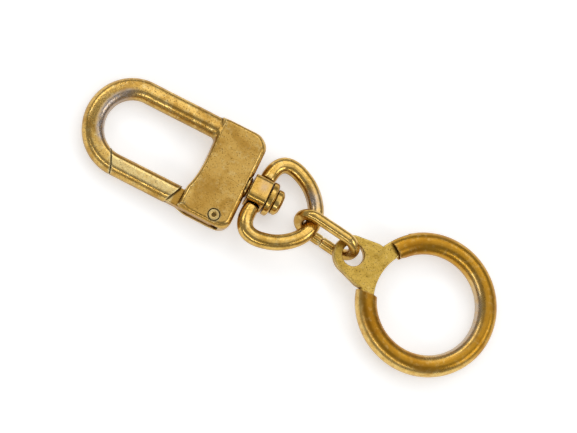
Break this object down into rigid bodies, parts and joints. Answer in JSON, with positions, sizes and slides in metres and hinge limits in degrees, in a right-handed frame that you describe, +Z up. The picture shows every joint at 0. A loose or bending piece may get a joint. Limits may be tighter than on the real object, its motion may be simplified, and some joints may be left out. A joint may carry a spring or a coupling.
{
  "type": "carabiner keyring",
  "caption": "Brass-plated key holder: a sprung hook on a swivel, a wire loop and link, and a hollow ring that slides open on a flat plate.",
  "frame": {"origin": "under the middle of the bounding box, on the surface that the keyring lies on", "axes": "+X along the hook towards the key ring, +Y across the hook away from its gate, +Z up"},
  "size_m": [0.0996, 0.0314, 0.0084],
  "materials": {
    "gilt_brass": "polished, worn brass plating",
    "worn_brass": "satin, paler where handled",
    "spring_steel": "plain wire"
  },
  "bodies": {
    "hook": {"hook_body": "gilt_brass", "gate_pin": "worn_brass", "gate_spring": "spring_steel", "swivel_spacer": "worn_brass", "swivel_stud": "worn_brass", "swivel_washer": "worn_brass"},
    "gate": {"gate": "gilt_brass"},
    "swivel": {"swivel_collar": "worn_brass"},
    "loop": {"d_loop": "gilt_brass"},
    "link": {"connector_link": "gilt_brass"},
    "fob": {"fob_plate": "gilt_brass", "ring_spring": "spring_steel"},
    "ring": {"ring_tube": "gilt_brass", "spring_stop": "spring_steel"}
  },
  "joints": [
    {"name": "gate_open", "type": "hinge", "parent": "hook", "child": "gate", "pos_m": [-0.01548, -0.00485, 0.00348], "axis": [0.0372, 0, -0.9993], "range_deg": [0, 20], "stiffness_Nm_per_rad": 0.02, "springref_deg": -20.05, "deforming": ["gate_spring"]},
    {"name": "swivel_turn", "type": "hinge", "parent": "hook", "child": "swivel", "pos_m": [-0.00858, 0.0045, 0.00374], "axis": [0.9993, 0, 0.0372], "continuous": true},
    {"name": "loop_tilt", "type": "hinge", "parent": "swivel", "child": "loop", "pos_m": [-0.00858, 0.0045, 0.00374], "axis": [-0.0901, -0.9814, 0.1698], "range_deg": [-90, 90]},
    {"name": "link_swing", "type": "hinge", "parent": "loop", "child": "link", "pos_m": [0.00463, 0.00365, 0.00421], "axis": [0.0901, 0.9814, -0.1698], "range_deg": [-100, 100]},
    {"name": "fob_swing", "type": "hinge", "parent": "link", "child": "fob", "pos_m": [0.01497, 0.0022, 0.00385], "axis": [0.0451, -0.0045, 0.999], "range_deg": [-85, 85]},
    {"name": "ring_open", "type": "hinge", "parent": "fob", "child": "ring", "pos_m": [0.03411, -0.00001, 0.00298], "axis": [0.0451, -0.0045, 0.999], "range_deg": [0, 15], "stiffness_Nm_per_rad": 0.02, "springref_deg": -17.19, "deforming": ["ring_spring"]}
  ]
}
